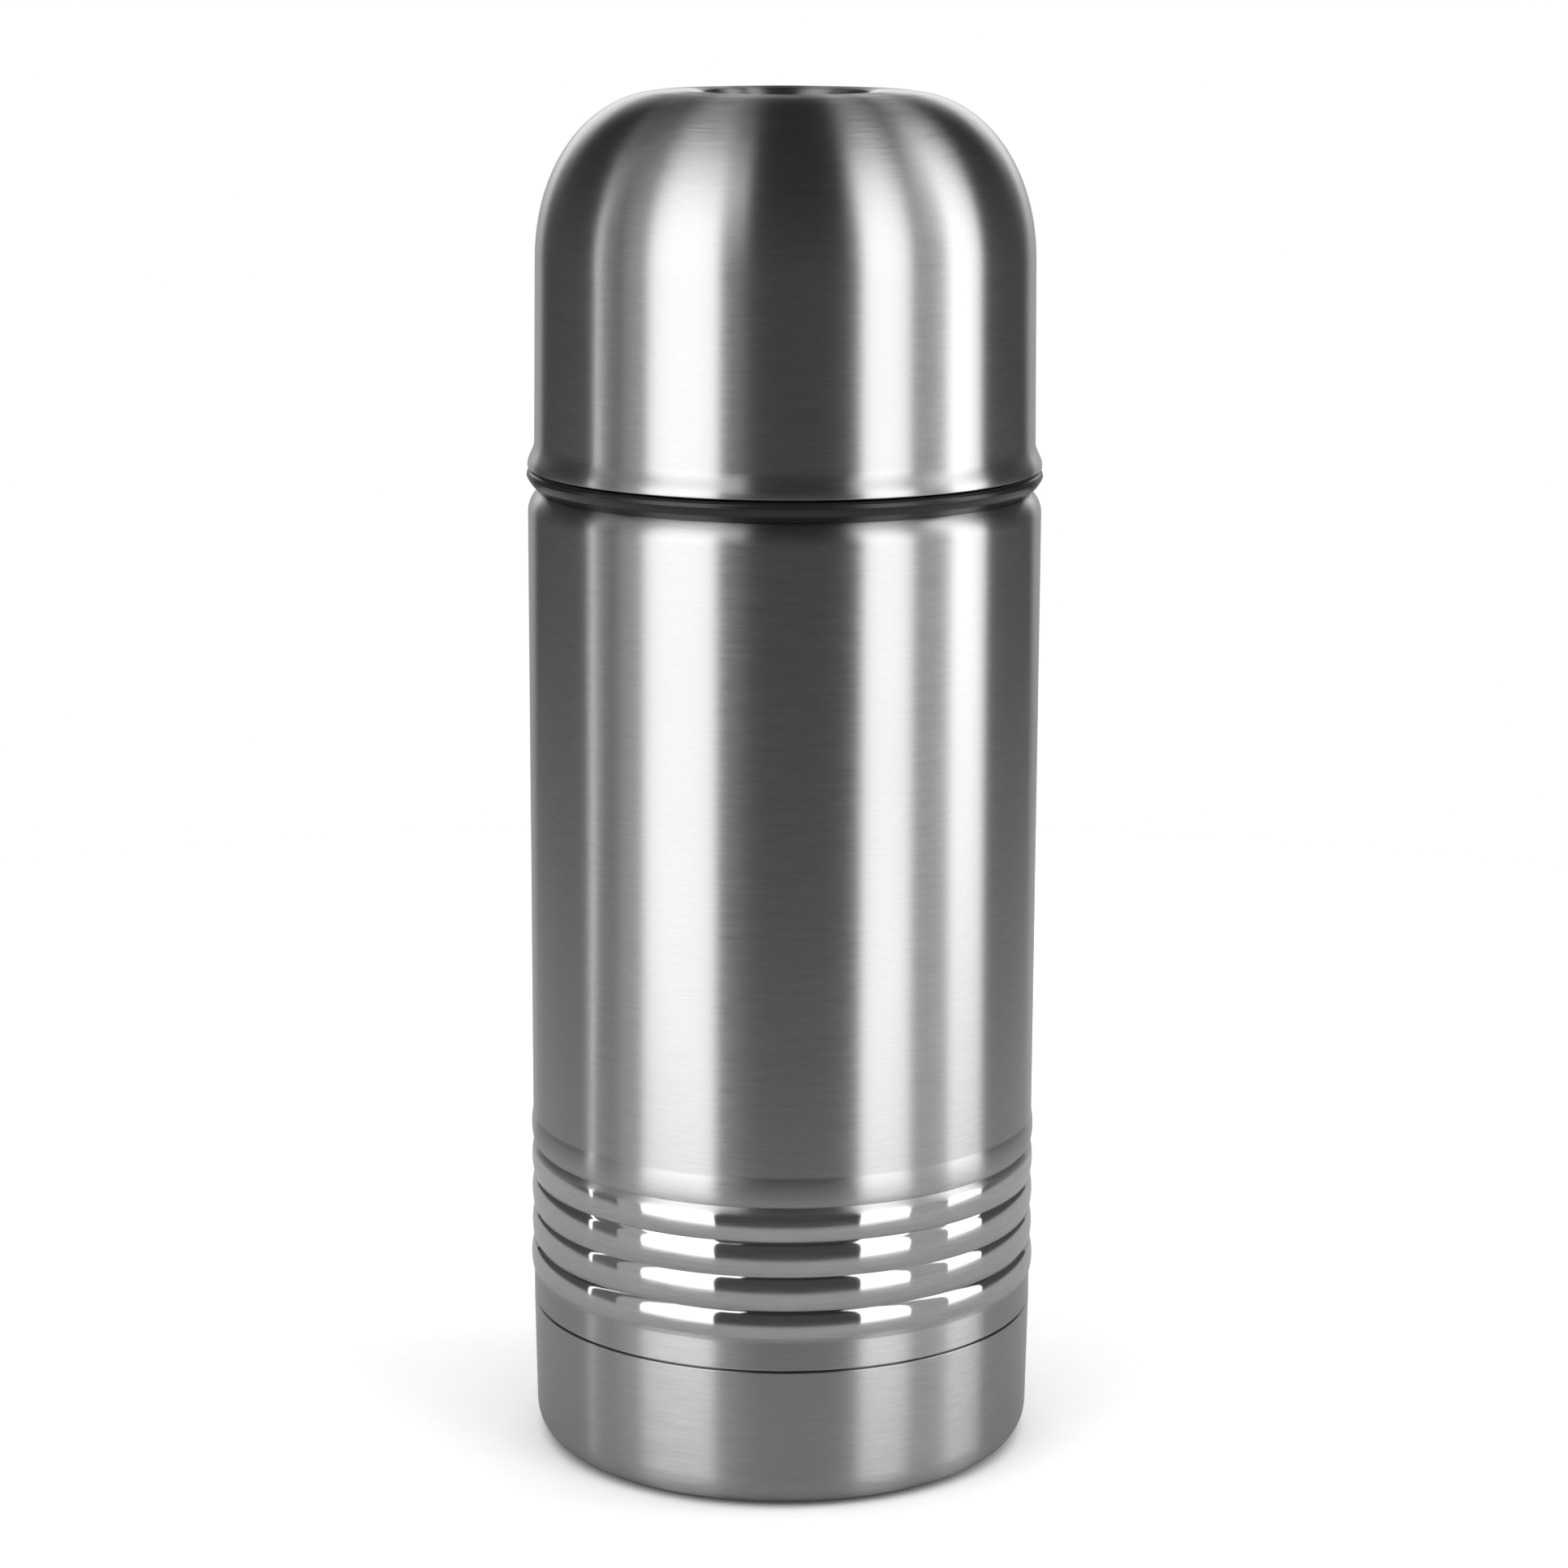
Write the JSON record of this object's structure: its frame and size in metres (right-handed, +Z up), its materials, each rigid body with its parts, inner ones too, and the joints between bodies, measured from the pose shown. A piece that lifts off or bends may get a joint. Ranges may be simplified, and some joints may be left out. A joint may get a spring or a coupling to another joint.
{
  "type": "vacuum flask",
  "caption": "Upright cylindrical steel vacuum flask with rolled ribs above a plain base cap, a domed screw-on drinking cup and a push-button stopper inside it.",
  "frame": {"origin": "centre of the face that the flask stands on", "axes": "+Z up along the flask's axis, from the base to the top of the cup; +X towards the right release tab"},
  "size_m": [0.0808, 0.0808, 0.2143],
  "materials": {
    "brushed_steel": "brushed round the axis, satin",
    "plain_steel": "drawn steel, electropolished",
    "solder": "dull solder",
    "getter": "pressed powder, matt",
    "copper": "bright foil, lightly creased",
    "black_plastic": "moulded, glossy black",
    "grey_plastic": "moulded, fine satin texture",
    "silicone": "translucent white silicone, satin",
    "foam": "closed-cell foam, matt"
  },
  "bodies": {
    "flask": {"outer_shell": "brushed_steel", "bottom_plate": "plain_steel", "seal_plug": "solder", "getter_holder": "plain_steel", "getter_pill": "getter", "base_cap": "brushed_steel", "base_cushion": "foam", "inner_bottle": "plain_steel", "reflective_foil": "copper", "neck_collar": "black_plastic", "collar_gasket": "silicone"},
    "stopper": {"stopper_body": "black_plastic", "stopper_top": "black_plastic", "stopper_core": "foam", "stopper_cover": "black_plastic", "stopper_gasket": "silicone", "button_spring": "plain_steel"},
    "button": {"push_button": "grey_plastic", "valve_stem": "black_plastic", "valve_seal": "silicone", "valve_nut": "black_plastic"},
    "tab_left": {"release_tab_left": "grey_plastic"},
    "tab_right": {"release_tab_right": "grey_plastic"},
    "cup": {"cup_shell": "brushed_steel", "cup_liner": "black_plastic", "cup_seal_ring": "silicone"}
  },
  "joints": [
    {"name": "stopper_lift", "type": "slide", "parent": "flask", "child": "stopper", "axis": [0, 0, 1], "range_m": [0, 0.07]},
    {"name": "cup_lift", "type": "slide", "parent": "stopper", "child": "cup", "axis": [0, 0, 1], "range_m": [0, 0.09]},
    {"name": "button_press", "type": "slide", "parent": "stopper", "child": "button", "axis": [0, 0, -1], "range_m": [0, 0.0035], "stiffness_N_per_m": 500, "springref_m": -0.004, "deforming": ["button_spring"]},
    {"name": "tab_left_press", "type": "slide", "parent": "stopper", "child": "tab_left", "axis": [1, 0, 0], "range_m": [0, 0.0016], "stiffness_N_per_m": 600, "springref_m": -0.002},
    {"name": "tab_right_press", "type": "slide", "parent": "stopper", "child": "tab_right", "axis": [-1, 0, 0], "range_m": [0, 0.0016], "stiffness_N_per_m": 600, "springref_m": -0.002}
  ]
}
